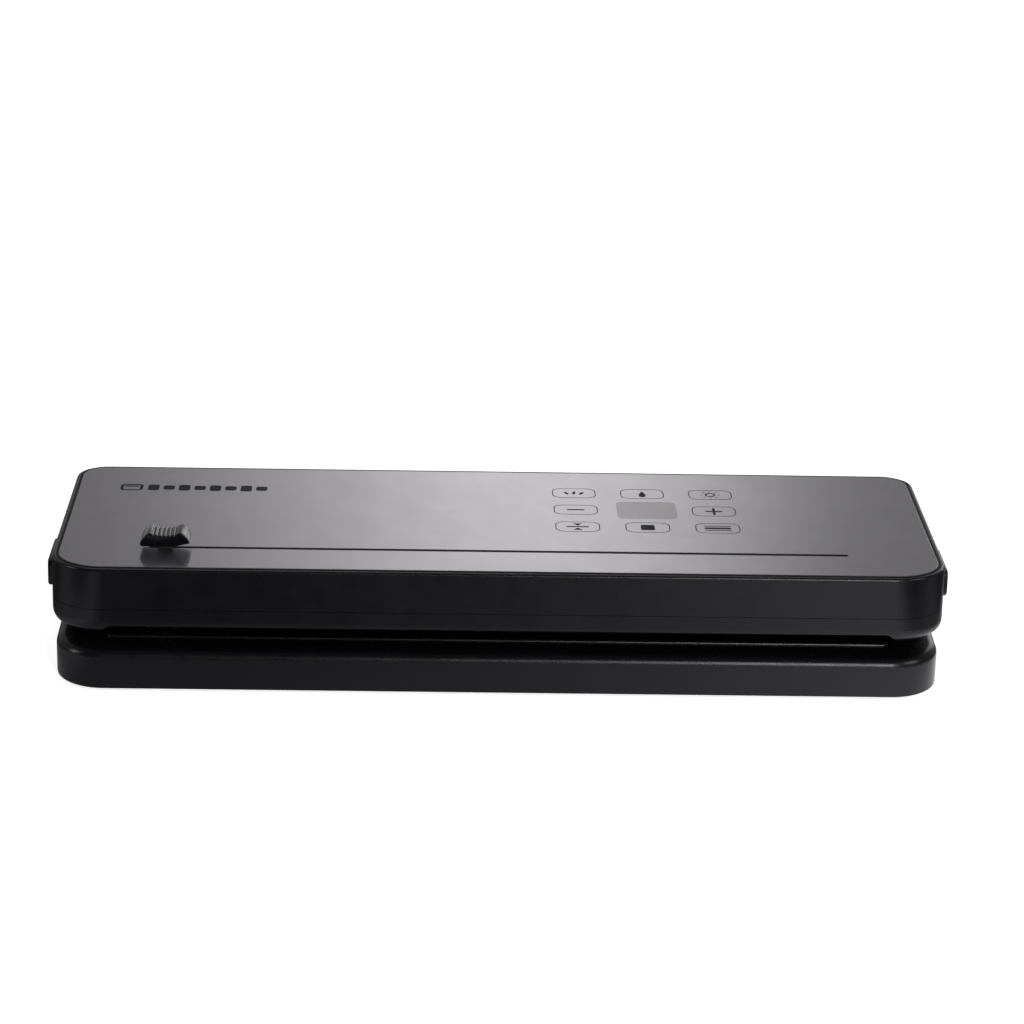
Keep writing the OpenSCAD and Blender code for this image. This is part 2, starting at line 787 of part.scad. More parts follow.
module mains_leads() {
    color(part_dark) for (i = [0, 1]) {
        route = [for (p = mains_route) p + [0, 0, i * lead_gap]];
        tube(smooth(concat([[inlet_x + 4.3 - 8.6 * i, lid_d - 21, inlet_z]], route), 5), 1.1, 6);
    }
}

module heater_leads() {
    color(silicone_red) for (i = [0, 1])
        tube([for (p = smooth(heater_route, 5)) p + [i * lead_gap * 0.1, 0, i * lead_gap]], 0.9, 6);
}

module ribbon_cable() {
    color(hose_clear) for (i = [0:4])
        tube([for (p = smooth(ribbon_route, 4)) p + [0, 1.3 * i, 0]], 0.55, 6);
}

// ---------- mains inlet ----------

module inlet_hole(r, l) {
    rotate([90, 0, 0]) linear_extrude(l) {
        for (x = [-4.3, 4.3]) translate([x, 0]) circle(r);
        square([8.6, 2 * r], center = true);
    }
}

module power_inlet() {
    color(part_dark) translate([inlet_x, lid_d, inlet_z]) difference() {
        union() {
            translate([0, -0.3, 0]) rotate([90, 0, 0]) linear_extrude(16) rounded_rect(20, 11, 3.8);
            block(-12, 12, -18, -wall - 0.2, -6.4, 6.4);
        }
        translate([0, 1, 0]) inlet_hole(4.4, 14);
        for (x = [-4.3, 4.3]) translate([x, 0, 0]) rotate([90, 0, 0]) cylinder(r = 1.2, h = 20);
    }
}

module inlet_pins() {
    color(steel) translate([inlet_x, lid_d, inlet_z]) for (x = [-4.3, 4.3]) translate([x, -3.5, 0])
        rotate([90, 0, 0]) cylinder(r = 1.19, h = 16);
}

// ---------- cutter ----------

module at_cutter() {
    translate([cutter_x, cutter_y, 0]) children();
}

knob_w = 13;
knob_z0 = 2.3;
knob_h = 6.2;

// Side outline of the knob: a ribbed saddle between two round shoulders, rising underneath at the right
module knob_outline() {
    half = knob_l / 2;
    shoulder_r = 6.9;
    difference() {
        intersection() {
            translate([-half, 0]) square([knob_l, knob_h]);
            union() {
                for (s = [-1, 1]) translate([s * (half - shoulder_r), -0.4]) circle(shoulder_r);
                square([knob_l - 2 * shoulder_r, 2 * knob_h], center = true);
            }
        }
        translate([0, knob_h + 21]) circle(22);
        for (x = [-4.6:1.85:4.7]) translate([x, knob_h - 1.6 + x * x / 44]) rotate(45) square(1.2);
        translate([-half, 0]) rotate(45) square(1.2, center = true);
        polygon([[half - 6.6, -0.05], [half + 1, -1], [half + 1, 1.75]]);
    }
}

module cutter_knob() {
    color(body_black) at_cutter() translate([0, knob_w / 2, panel_z1 + knob_z0]) rotate([90, 0, 0])
        linear_extrude(knob_w) knob_outline();
}

module cutter_carriage() {
    color(part_dark) at_cutter() difference() {
        union() {
            block(-3, 3, -0.85, 0.85, roof_z0 - 4, panel_z1 + knob_z0 - 0.01);
            block(-10, 10, -4.7, 4.7, roof_z0 - 18, roof_z0 - 2);
        }
        block(-6.05, 6.05, -0.3, 0.3, roof_z0 - 19, roof_z0 - 8);
        translate([-8.2, 0, roof_z0 - 12]) rotate([90, 0, 0]) cylinder(r = 1.05, h = 12, center = true);
    }
}

module cutter_blade() {
    color(steel) at_cutter() translate([0, 0.25, 0]) rotate([90, 0, 0]) linear_extrude(0.5)
        polygon([[-6, roof_z0 - 8.1], [6, roof_z0 - 8.1], [6, floor_z], [5, lid_z0 + 1], [2, deck_z - 2.5],
            [-2, deck_z - 2.5], [-5, lid_z0 + 1], [-6, floor_z]]);
}

module cutter_screw() {
    color(steel) at_cutter() translate([-8.2, 4.6, roof_z0 - 12]) rotate([90, 0, 0])
        cylinder(r = 1, h = 9.2);
}

// ---------- side latches ----------

module release_button() {
    z_mid = (button_z0 + button_z1) / 2;
    h = button_z1 - button_z0;
    color(body_black) translate([0, button_y, z_mid]) rotate([90, 0, 90]) {
        translate([0, 0, lid_w / 2 - wall - 2]) linear_extrude(wall + 1.5 + button_proud)
            rounded_rect(button_l, h, 3);
        translate([0, 0, lid_w / 2 + button_proud - 0.5 - eps]) linear_extrude(0.5 + eps)
            rounded_rect(button_l - 1, h - 1, 2.5);
        translate([0, 0, lid_w / 2 - wall - 2.3]) linear_extrude(2)
            rounded_rect(button_l + 4, h + 0.8, 2);
    }
}

module latch_hook() {
    x1 = hook_x + hook_t / 2;
    x0 = hook_x - hook_t / 2;
    color(body_black) {
        block(x0, x1, button_y - hook_w / 2, button_y + hook_w / 2, nose_z0, button_z1 - 1);
        block(x1 - eps, lid_w / 2 - wall - 2.3, button_y - 5, button_y + 5, 36, 42);
        // The nose is sloped underneath, so that it rides over the base's edge
        translate([0, button_y + hook_w / 2, 0]) rotate([90, 0, 0]) linear_extrude(hook_w)
            polygon([[x1 - eps, nose_z0], [x1 + 0.8, nose_z0], [x1 + nose_proud, nose_z1 - 0.8],
                [x1 + nose_proud, nose_z1], [x1 - eps, nose_z1]]);
    }
}

module latch_spring() {
    length = hook_x - hook_t / 2 - spring_stop_x;
    color(steel) translate([spring_stop_x + 0.3, button_y, spring_z]) rotate([0, 90, 0])
        tube(helix(2.6, 5, (length - 0.6) / 5, 12), 0.25, 6);
}

// ---------- nodes ----------

placed() base_shell();
placed() base_bottom_plate();
placed() rubber_feet();
placed() base_screws();
placed() lower_gasket();
placed() silicone_seal_strip();
placed() cutting_track();
placed() lid_magnet();
placed() hinge_pins();
placed() hinge_springs();
raised() lid_bottom_shell();
raised() lid_top_shell();
raised() top_panel();
raised() display_window();
raised() display_module();
raised() control_board();
raised() control_parts();
raised() touch_springs();
raised() power_board();
raised() power_parts();
raised() upper_gasket();
raised() heater_bar();
raised() heater_ribbon();
raised() heater_tape();
raised() pump_motor();
raised() pump_head();
raised() pump_shaft();
raised() pump_eccentric();
raised() valve_body();
raised() valve_plunger();
raised() vacuum_hose();
raised() vent_hose();
raised() pressure_switch();
raised() lid_sensor();
raised() power_inlet();
raised() inlet_pins();
raised() mains_leads();
raised() heater_leads();
raised() ribbon_cable();
raised() lid_screws();
raised() cutter_knob();
raised() cutter_carriage();
raised() cutter_blade();
raised() cutter_screw();
raised() mirror([1, 0, 0]) release_button();  // left_release_button
raised() mirror([1, 0, 0]) latch_hook();  // left_latch_hook
raised() mirror([1, 0, 0]) latch_spring();  // left_latch_spring
raised() release_button();  // right_release_button
raised() latch_hook();  // right_latch_hook
raised() latch_spring();  // right_latch_spring
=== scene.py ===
"""Looks for a countertop vacuum sealer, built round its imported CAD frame. Metres, +Z up."""

import json
import math

import bpy
from mathutils import Matrix, Vector


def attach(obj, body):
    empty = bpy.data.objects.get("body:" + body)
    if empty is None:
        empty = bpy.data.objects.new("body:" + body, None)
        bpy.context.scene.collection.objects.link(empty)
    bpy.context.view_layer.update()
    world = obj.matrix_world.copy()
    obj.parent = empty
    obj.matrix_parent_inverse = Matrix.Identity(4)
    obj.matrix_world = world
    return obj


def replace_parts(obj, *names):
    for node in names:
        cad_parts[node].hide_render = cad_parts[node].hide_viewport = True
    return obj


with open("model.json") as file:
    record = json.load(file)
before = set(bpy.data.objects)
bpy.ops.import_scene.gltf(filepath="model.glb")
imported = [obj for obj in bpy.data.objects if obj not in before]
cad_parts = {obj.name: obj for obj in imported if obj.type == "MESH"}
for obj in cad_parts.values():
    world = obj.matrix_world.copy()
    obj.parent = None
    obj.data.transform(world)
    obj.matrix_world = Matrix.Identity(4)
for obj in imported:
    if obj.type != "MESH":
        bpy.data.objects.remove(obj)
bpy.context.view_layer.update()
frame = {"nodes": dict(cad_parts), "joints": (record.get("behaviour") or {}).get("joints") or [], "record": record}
MM = 0.001

# ---------- the lid's pose ----------

hinge = next(j for j in frame["joints"] if j["name"] == "lid_hinge")
HINGE = Vector(hinge["pos_m"])
RAISE = math.radians(-hinge["range_deg"][0])
# Takes a point of the closed lid to where it is at rest, a few degrees open
LID_POSE = (
    Matrix.Translation(HINGE)
    @ Matrix.Rotation(-RAISE, 4, "X")
    @ Matrix.Translation(-HINGE)
)


def closed_box(node):
    """The node's lowest and highest corners, in millimetres, with the lid shut."""
    back = LID_POSE.inverted()
    points = [back @ v.co / MM for v in frame["nodes"][node].data.vertices]
    return [Vector(pick(p[i] for p in points) for i in range(3)) for pick in (min, max)]


def middle(box):
    return (box[0] + box[1]) / 2


# ---------- materials ----------


def add(tree, kind, inputs=None, **settings):
    """Adds a node. An input is a constant or another node's output."""
    node = tree.nodes.new(kind)
    for key, value in settings.items():
        setattr(node, key, value)
    for key, value in (inputs or {}).items():
        if isinstance(value, bpy.types.NodeSocket):
            tree.links.new(value, node.inputs[key])
        else:
            node.inputs[key].default_value = value
    return node


def place(tree, stretch=(1, 1, 1)):
    """Coordinates fixed to the object, in metres."""
    at = add(tree, "ShaderNodeTexCoord").outputs["Object"]
    return add(tree, "ShaderNodeMapping", {"Vector": at, "Scale": stretch}).outputs["Vector"]


def noise(tree, size_mm, detail=2.0, stretch=(1, 1, 1)):
    """Noise whose blotches are about size_mm across."""
    inputs = {"Vector": place(tree, stretch), "Scale": 1 / (size_mm * MM), "Detail": detail}
    return add(tree, "ShaderNodeTexNoise", inputs).outputs["Fac"]


def spread(tree, value, low, high, clip=(0.3, 0.7)):
    """A value in clip's band, by default where noise mostly lies, brought to low and high."""
    inputs = {"Value": value, "From Min": clip[0], "From Max": clip[1], "To Min": low, "To Max": high}
    return add(tree, "ShaderNodeMapRange", inputs).outputs["Result"]


def two_tone(tree, value, first, second):
    node = add(tree, "ShaderNodeMix", data_type="RGBA")
    tree.links.new(value, node.inputs["Factor"])
    node.inputs["A"].default_value = (*first, 1)
    node.inputs["B"].default_value = (*second, 1)
    return node.outputs["Result"]


def bumped(tree, layers):
    """Bump from (height, depth in mm, strength) layers, one on another."""
    normal = None
    for height, depth_mm, strength in layers:
        inputs = {"Height": height, "Distance": depth_mm * MM, "Strength": strength}
        if normal is not None:
            inputs["Normal"] = normal
        normal = add(tree, "ShaderNodeBump", inputs).outputs["Normal"]
    return normal


def new_material(name, constants=None):
    material = bpy.data.materials.new(name)
    material.use_nodes = True
    tree = material.node_tree
    shader = tree.nodes["Principled BSDF"]
    for key, value in (constants or {}).items():
        shader.inputs[key].default_value = value
    return material, tree, shader


def finish_material(material, tree, shader, colour, roughness, normal):
    tree.links.new(colour, shader.inputs["Base Color"])
    tree.links.new(roughness, shader.inputs["Roughness"])
    tree.links.new(normal, shader.inputs["Normal"])
    return material


def moulded(name, dark, light, rough=(0.3, 0.4), grain_mm=0.35, grain_depth=0.006, constants=None):
    """Moulded plastic: a fine grain, faint handling marks in its gloss and slight colour drift."""
    material, tree, shader = new_material(name, {"IOR": 1.46, **(constants or {})})
    drift = noise(tree, 40, 3)
    smears = noise(tree, 9, 4)
    grain = noise(tree, grain_mm, 2)
    return finish_material(
        material, tree, shader,
        two_tone(tree, spread(tree, drift, 0, 1), dark, light),
        spread(tree, smears, *rough),
        bumped(tree, [(drift, 0.02, 0.15), (grain, grain_depth, 0.35)]),
    )


def brushed(name, dark, light, rough=(0.25, 0.4)):
    """Drawn or rolled metal, with fine lines along one axis."""
    material, tree, shader = new_material(name, {"Metallic": 1.0})
    lines = noise(tree, 0.25, 3, (0.04, 1, 1))
    patches = noise(tree, 12, 3)
    return finish_material(
        material, tree, shader,
        two_tone(tree, spread(tree, patches, 0, 1), dark, light),
        spread(tree, lines, *rough),
        bumped(tree, [(lines, 0.01, 0.3)]),
    )


def soft_rubber(name, dark, light, rough=(0.6, 0.8)):
    """Rubber or silicone: a matt skin with fine pores and a dusty sheen."""
    material, tree, shader = new_material(name, {"Sheen Weight": 0.15, "Sheen Roughness": 0.5, "IOR": 1.42})
    dust = noise(tree, 6, 4)
    pores = noise(tree, 0.5, 3)
    return finish_material(
        material, tree, shader,
        two_tone(tree, spread(tree, dust, 0, 1), dark, light),
        spread(tree, dust, *rough),
        bumped(tree, [(dust, 0.02, 0.2), (pores, 0.03, 0.5)]),
    )


def foam(name, dark, light):
    """Closed-cell foam: small round cells."""
    material, tree, shader = new_material(name, {"Sheen Weight": 0.3, "Sheen Roughness": 0.6, "IOR": 1.35})
    cells = add(tree, "ShaderNodeTexVoronoi", {"Vector": place(tree), "Scale": 1 / (0.45 * MM)})
    drift = noise(tree, 5, 3)
    return finish_material(
        material, tree, shader,
        two_tone(tree, spread(tree, cells.outputs["Distance"], 0, 1, (0.1, 0.6)), light, dark),
        spread(tree, drift, 0.8, 0.95),
        bumped(tree, [(cells.outputs["Distance"], 0.12, 0.6)]),
    )


def coated_cloth(name, dark, light):
    """Glass cloth with a slippery coating: a fine square weave."""
    material, tree, shader = new_material(name, {"Coat Weight": 0.3, "Coat Roughness": 0.3, "IOR": 1.38})
    threads = []
    for axis in ("X", "Y"):
        wave = add(
            tree, "ShaderNodeTexWave",
            {"Vector": place(tree), "Scale": 1 / (2.4 * MM), "Distortion": 0.4, "Detail": 1},
            bands_direction=axis,
        )
        threads.append(wave.outputs["Fac"])
    weave = add(tree, "ShaderNodeMath", operation="MULTIPLY")
    for socket, thread in zip(weave.inputs, threads):
        tree.links.new(thread, socket)
    stain = noise(tree, 14, 4)
    return finish_material(
        material, tree, shader,
        two_tone(tree, spread(tree, stain, 0, 1), dark, light),
        spread(tree, weave.outputs[0], 0.35, 0.6, (0, 1)),
        bumped(tree, [(weave.outputs[0], 0.05, 0.5)]),
    )


def circuit_board(name):
    """Green solder mask over faint copper tracks."""
    material, tree, shader = new_material(name, {"Coat Weight": 0.4, "Coat Roughness": 0.2})
    tracks = add(
        tree, "ShaderNodeTexVoronoi", {"Vector": place(tree), "Scale": 1 / (5 * MM)},
        distance="MANHATTAN", feature="F1",
    ).outputs["Distance"]
    return finish_material(
        material, tree, shader,
        two_tone(tree, spread(tree, tracks, 0, 1, (0.25, 0.35)), (0.012, 0.10, 0.045), (0.02, 0.16, 0.07)),
        spread(tree, noise(tree, 8, 3), 0.3, 0.45),
        bumped(tree, [(tracks, 0.03, 0.4)]),
    )


def backed_glass(name):
    """Grey-backed glass: a dark satin backing with a fine grain under a clear face."""
    constants = {"Specular IOR Level": 0.3, "Coat Weight": 1.0, "Coat Roughness": 0.1, "Coat IOR": 1.5}
    material, tree, shader = new_material(name, constants)
    backing = noise(tree, 30, 3)
    flake = noise(tree, 0.3, 2)
    smears = noise(tree, 14, 5, (1, 0.5, 1))
    return finish_material(
        material, tree, shader,
        two_tone(tree, spread(tree, backing, 0, 1), (0.034, 0.0315, 0.036), (0.041, 0.038, 0.043)),
        spread(tree, smears, 0.3, 0.36),
        bumped(tree, [(flake, 0.001, 0.15)]),
    )


def smoked_window(name):
    """The display's window: a smoked lens over a pale unlit screen."""
    constants = {"Specular IOR Level": 0.2, "Coat Weight": 0.55, "Coat Roughness": 0.1, "Coat IOR": 1.45}
    material, tree, shader = new_material(name, constants)
    cloud = noise(tree, 12, 3)
    return finish_material(
        material, tree, shader,
        two_tone(tree, spread(tree, cloud, 0, 1), (0.04, 0.039, 0.038), (0.045, 0.044, 0.043)),
        spread(tree, cloud, 0.28, 0.32),
        bumped(tree, [(cloud, 0.002, 0.1)]),
    )


def clear_tube(name):
    """Milky silicone tubing."""
    material, tree, shader = new_material(name, {"Transmission Weight": 0.35, "IOR": 1.41})
    cloud = noise(tree, 4, 3)
    return finish_material(
        material, tree, shader,
        two_tone(tree, spread(tree, cloud, 0, 1), (0.62, 0.64, 0.63), (0.75, 0.77, 0.76)),
        spread(tree, cloud, 0.3, 0.5),
        bumped(tree, [(cloud, 0.03, 0.2)]),
    )


BLACK = ((0.0032, 0.003, 0.004), (0.005, 0.0046, 0.0064))
MATERIALS = {
    "body_black": moulded("shell_plastic", *BLACK, (0.24, 0.31), constants={"Specular IOR Level": 0.34}),
    "part_dark": moulded("inner_plastic", (0.018, 0.018, 0.02), (0.03, 0.03, 0.032), rough=(0.4, 0.55)),
    "panel_glass": backed_glass("panel_glass"),
    "window_grey": smoked_window("display_lens"),
    "rubber_black": soft_rubber("foot_rubber", (0.012, 0.012, 0.012), (0.022, 0.022, 0.022)),
    "gasket_foam": foam("gasket_foam", (0.012, 0.012, 0.013), (0.03, 0.03, 0.032)),
    "silicone_red": soft_rubber("strip_silicone", (0.2, 0.035, 0.025), (0.26, 0.05, 0.035), (0.45, 0.6)),
    "steel_bare": brushed("bare_steel", (0.5, 0.5, 0.52), (0.62, 0.62, 0.64)),
    "spring_steel": brushed("spring_steel", (0.38, 0.38, 0.41), (0.5, 0.5, 0.53), (0.2, 0.35)),
    "aluminium_bar": brushed("heater_aluminium", (0.66, 0.66, 0.67), (0.76, 0.76, 0.77)),
    "heater_alloy": brushed("heater_ribbon_alloy", (0.4, 0.35, 0.31), (0.52, 0.47, 0.42)),
    "tape_brown": coated_cloth("heater_cloth", (0.14, 0.075, 0.035), (0.2, 0.115, 0.055)),
    "board_green": circuit_board("board_mask"),
    "hose_clear": clear_tube("hose_silicone"),
    "lead_cover": soft_rubber("lead_cover", (0.015, 0.015, 0.016), (0.03, 0.03, 0.031), (0.4, 0.55)),
    "magnet_grey": brushed("magnet_nickel", (0.45, 0.45, 0.44), (0.58, 0.58, 0.57), (0.15, 0.3)),
}
# Dark print on the glass; the same material also colours the painted shade in the groove round the glass
PRINT_AND_PAINTED_SHADE = moulded(
    "panel_print_and_painted_shade", (0.014, 0.014, 0.015), (0.02, 0.02, 0.021), (0.5, 0.6),
    grain_mm=0.2, grain_depth=0.002, constants={"Specular IOR Level": 0.1, "IOR": 1.3},
)
KNOB = moulded("knob_plastic", *BLACK, rough=(0.15, 0.22), constants={"Specular IOR Level": 0.55})

SMOOTH_BELOW = math.radians(32)


def dress(obj, material):
    """Gives a mesh its one material, and smooths it except across its edges."""
    obj.data.materials.clear()
    obj.data.materials.append(material)
    obj.data.shade_smooth()
    obj.data.set_sharp_from_angle(angle=SMOOTH_BELOW)


slot_of = {s["node"]: s["material_slot"] for s in frame["record"]["subparts"]}
for node_name, node_object in frame["nodes"].items():
    dress(node_object, MATERIALS[slot_of[node_name]])

# ---------- mesh helpers, in millimetres ----------


def outline(w, d, r, steps=10, rear_r=None):
    """A rounded rectangle about the origin, counter-clockwise. Its rear corners may differ."""
    points = []
    for quarter, (sx, sy) in enumerate([(1, 1), (-1, 1), (-1, -1), (1, -1)]):
        bend = rear_r if rear_r and sy > 0 else r
        for k in range(steps + 1):
            a = math.radians(90 * (quarter + k / steps))
            points.append(
                (sx * (w / 2 - bend) + bend * math.cos(a), sy * (d / 2 - bend) + bend * math.sin(a))
            )
    return points


def loft(loops, closed=False):
    """Faces between loops of equally many points: capped at the ends, or closed into a ring."""
    n = len(loops[0])
    verts = [p for loop in loops for p in loop]
    pairs = list(zip(range(len(loops) - 1), range(1, len(loops))))
    if closed:
        pairs.append((len(loops) - 1, 0))
    faces = [
        (a * n + k, a * n + (k + 1) % n, b * n + (k + 1) % n, b * n + k)
        for a, b in pairs for k in range(n)
    ]
    if not closed:
        faces.append(tuple(reversed(range(n))))
        faces.append(tuple((len(loops) - 1) * n + k for k in range(n)))
    return verts, faces


def joined(shapes):
    """Several (verts, faces) as one."""
    verts, faces = [], []
    for v, f in shapes:
        faces += [tuple(i + len(verts) for i in face) for face in f]
        verts += v
    return verts, faces


def plate(points, z0, z1):
    return loft([[(x, y, z) for x, y in points] for z in (z0, z1)])


def ring(w, d, r, profile, steps=10, rear_r=None):
    """A closed (offset, z) profile swept round a rounded rectangle."""
    loops = []
    for out, z in profile:
        rear = rear_r + out if rear_r else None
        loops.append([(x, y, z) for x, y in outline(w + 2 * out, d + 2 * out, r + out, steps, rear)])
    return loft(loops, closed=True)


def moved(shape, x=0, y=0, z=0):
    return [(a + x, b + y, c + z) for a, b, c in shape[0]], shape[1]


def piece(name, shape, body, slot, material=None, pose=None):
    """A new mesh object from a shape in millimetres, riding on a body."""
    verts, faces = shape
    pose = pose or Matrix.Identity(4)
    mesh = bpy.data.meshes.new(name)
    mesh.from_pydata([pose @ (Vector(v) * MM) for v in verts], [], faces)
    mesh.validate()
    obj = bpy.data.objects.new(name, mesh)
    bpy.context.scene.collection.objects.link(obj)
    dress(obj, material or MATERIALS[slot])
    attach(obj, body)
    return obj


# ---------- cutter knob ----------

RIB_PITCH, RIB_DEPTH, RIBBED_X = 1.85, 0.65, 6.1
HORN_X, SADDLE = 6.6, 1.0
SHOULDER_R, SHOULDER_L = 7.0, 6.8
LEFT_ROUND_L, LEFT_ROUND_H = 0.9, 0.7
RIGHT_RISE_L, RIGHT_RISE_H = 6.6, 1.5
KNOB_STEPS, KNOB_EDGE = 220, 0.4


def knob_top(x, half, height):
    """The ribbed saddle, or the round shoulder where that is lower. The right shoulder is fuller."""
    drop = -0.15 if x > 0 else 0.5
    out = max(0, abs(x) - (half - SHOULDER_L))
    shoulder = math.sqrt(SHOULDER_R ** 2 - out ** 2) - drop
    from_rib = 2 * abs((x / RIB_PITCH + 0.5) % 1 - 0.5)
    fade = min(1, max(0, (RIBBED_X - abs(x)) / 0.3))
    saddle = height - SADDLE * (1 - (x / HORN_X) ** 2) - RIB_DEPTH * fade * from_rib ** 2.5
    return min(shoulder, saddle)


def knob_bottom(x, half):
    """Flat but for a small round at the left end and a long rise to the right one."""
    left = max(0, -x - half + LEFT_ROUND_L) / LEFT_ROUND_L
    right = max(0, x - half + RIGHT_RISE_L) / RIGHT_RISE_L
    return LEFT_ROUND_H * left ** 2 + RIGHT_RISE_H * right


def cutter_knob():
    """The knob's long outline, lofted from front to back with a small round on both edges."""
    low, high = closed_box("cutter_knob")
    half, depth, height = (high.x - low.x) / 2, high.y - low.y, high.z - low.z
    xs = [-half + 2 * half * k / KNOB_STEPS for k in range(KNOB_STEPS + 1)]
    outline_points = [(x, knob_bottom(x, half)) for x in xs]
    outline_points += [(x, knob_top(x, half, height)) for x in reversed(xs)]
    middle_z = height * 0.45
    sections = []
    for k in range(7):
        a = math.radians(15 * k)
        sections.append((KNOB_EDGE * (1 - math.cos(a)) - depth / 2, KNOB_EDGE * (1 - math.sin(a))))
    sections += [(-y, inset) for y, inset in reversed(sections)]
    loops = []
    for y, inset in sections:
        sx, sz = 1 - inset / half, 1 - 2 * inset / height
        loops.append([(x * sx, y, middle_z + (z - middle_z) * sz) for x, z in outline_points])
    centre = middle((low, high))
    return moved(loft(loops), centre.x, centre.y, low.z)


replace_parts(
    piece("cutter_knob_ribbed", cutter_knob(), "cutter", "body_black", KNOB, LID_POSE), "cutter_knob"
)

# ---------- release buttons ----------

BUTTON_EDGE = 1.1
FLANGE_T, FLANGE_W, FLANGE_H = 1.9, 2, 0.4


def release_button(side, low, high):
    """A push button with round edges and a slightly crowned face, on a flange inside the wall."""
    inner, outer = sorted((abs(low.x), abs(high.x)))
    cap_w, cap_h = high.y - low.y - 2 * FLANGE_W, high.z - low.z - 2 * FLANGE_H
    straight = outer - inner - BUTTON_EDGE
    sections = [(0, FLANGE_W, FLANGE_H), (FLANGE_T, FLANGE_W, FLANGE_H), (FLANGE_T, 0, 0), (straight, 0, 0)]
    for k in range(1, 7):
        a = math.radians(15 * k)
        inset = BUTTON_EDGE * (1 - math.cos(a))
        sections.append((straight + 0.95 * math.sin(a), -inset, -inset))
    sections += [(outer - inner - 0.05, -3, -3), (outer - inner, -5, -5)]
    loops = []
    for x, grow_w, grow_h in sections:
        w, h = cap_w + 2 * grow_w, cap_h + 2 * grow_h
        r = max(0.3, min(3 + min(grow_w, grow_h), h / 2 - 0.05))
        loops.append([(side * (inner + x), side * y, z) for y, z in outline(w, h, r, 8)])
    centre = middle((low, high))
    return moved(loft(loops), 0, centre.y, centre.z)


for side, name in ((-1, "left"), (1, "right")):
    node = f"{name}_release_button"
    cap = release_button(side, *closed_box(node))
    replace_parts(piece(f"{node}_cap", cap, f"{name}_latch", "body_black", pose=LID_POSE), node)

# ---------- print on the glass panel ----------

PRINT_T = 0.03
KEY_W, KEY_D, KEY_R, KEY_LINE = 19.6, 13.6, 4.2, 0.42
KEY_STEP_X, KEY_STEP_Y = 31.5, 24.6
KEY_SHIFT_X = -0.8
ICON_STRETCH = 1.35, 1.6

panel_low, panel_high = closed_box("top_panel")
PANEL_Z = panel_high.z
display = middle(closed_box("display_window"))


def bar(w, d, r=None, x=0, y=0):
    """A printed bar with rounded corners."""
    r = min(w, d) / 2 - 0.01 if r is None else r
    return moved(plate(outline(w, d, r, 4), 0, PRINT_T), x, y)


def hoop(w, d, r, line, x=0, y=0):
    """A printed outline, line wide."""
    half = line / 2
    profile = [(-half, 0), (half, 0), (half, PRINT_T), (-half, PRINT_T)]
    return moved(ring(w, d, r, profile, 8), x, y)


def blob(points):
    return plate(points, 0, PRINT_T)


def stretched(shape, sx, sy):
    return [(x * sx, y * sy, z) for x, y, z in shape[0]], shape[1]


def drop(x=0, y=0, size=1.0):
    """A water drop, point up."""
    points = []
    for k in range(24):
        a = math.tau * k / 24
        pinch = 0.5 - 0.5 * math.sin(a)
        points.append((x + size * math.cos(a) * (0.25 + 0.75 * pinch), y + 1.5 * size * math.sin(a)))
    return blob(points)


def grain(x, y, turn):
    points = [
        (0.55 * math.cos(math.tau * k / 16), 1.35 * math.sin(math.tau * k / 16)) for k in range(16)
    ]
    c, s = math.cos(turn), math.sin(turn)
    return blob([(x + c * a - s * b, y + s * a + c * b) for a, b in points])


def arrow(y, down):
    """A small triangle."""
    tip = -1.2 if down else 1.2
    points = [(-1.5, y - tip / 2), (1.5, y - tip / 2), (0, y + tip)]
    return blob(points if not down else points[::-1])


ICONS = {
    "grains": joined([grain(-2.6, 0, 0.5), grain(0, 0.3, -0.2), grain(2.5, -0.1, -0.6)]),
    "drop": drop(0, -0.3, 1.7),
    "sun": joined(
        [hoop(3, 3, 1.48, 0.6)]
        + [
            bar(0.6, 0.6, x=2.9 * math.cos(math.tau * k / 8), y=2.9 * math.sin(math.tau * k / 8))
            for k in range(8)
        ]
    ),
    "minus": bar(6, 0.9),
    "plus": joined([bar(6, 0.9), bar(0.9, 2.5, x=0, y=1.75), bar(0.9, 2.5, x=0, y=-1.75)]),
    "draw_out": joined([arrow(2.2, True), bar(7.5, 0.8), arrow(-2.2, False)]),
    "stop": bar(4.6, 4.6, 0.6),
    "weld": joined([bar(9, 1.5), bar(9, 0.5, y=1.9), bar(9, 0.5, y=-1.9)]),
}
KEYS = {
    (-1, 1): "grains", (0, 1): "drop", (1, 1): "sun",
    (-1, 0): "minus", (1, 0): "plus",
    (-1, -1): "draw_out", (0, -1): "stop", (1, -1): "weld",
}

for (column, row), icon in KEYS.items():
    key = joined([hoop(KEY_W, KEY_D, KEY_R, KEY_LINE), stretched(ICONS[icon], *ICON_STRETCH)])
    at = (display.x + KEY_SHIFT_X + column * KEY_STEP_X, display.y + row * KEY_STEP_Y, PANEL_Z)
    piece(f"touch_key_{icon}", moved(key, *at), "lid", "part_dark", PRINT_AND_PAINTED_SHADE, LID_POSE)

# A matt black strip in the groove between the glass and the rim: painted shade, standing for the dark of the gap
SHADE_STRIP_W, SHADE_STRIP_DEPTH = 0.9, 0.6
SHADE_STRIP_GAP = 0.05
PANEL_FRONT_R, PANEL_REAR_R = 20.2, 11.7
panel_size = panel_high - panel_low
groove_shade_strip = ring(
    panel_size.x, panel_size.y, PANEL_FRONT_R,
    [
        (SHADE_STRIP_GAP, -SHADE_STRIP_DEPTH), (SHADE_STRIP_GAP + SHADE_STRIP_W, -SHADE_STRIP_DEPTH),
        (SHADE_STRIP_GAP + SHADE_STRIP_W, 0), (SHADE_STRIP_GAP, 0),
    ],
    rear_r=PANEL_REAR_R,
)
panel_middle = middle((panel_low, panel_high))
piece(
    "panel_groove_shade", moved(groove_shade_strip, panel_middle.x, panel_middle.y, PANEL_Z), "lid", "part_dark", PRINT_AND_PAINTED_SHADE, LID_POSE
)

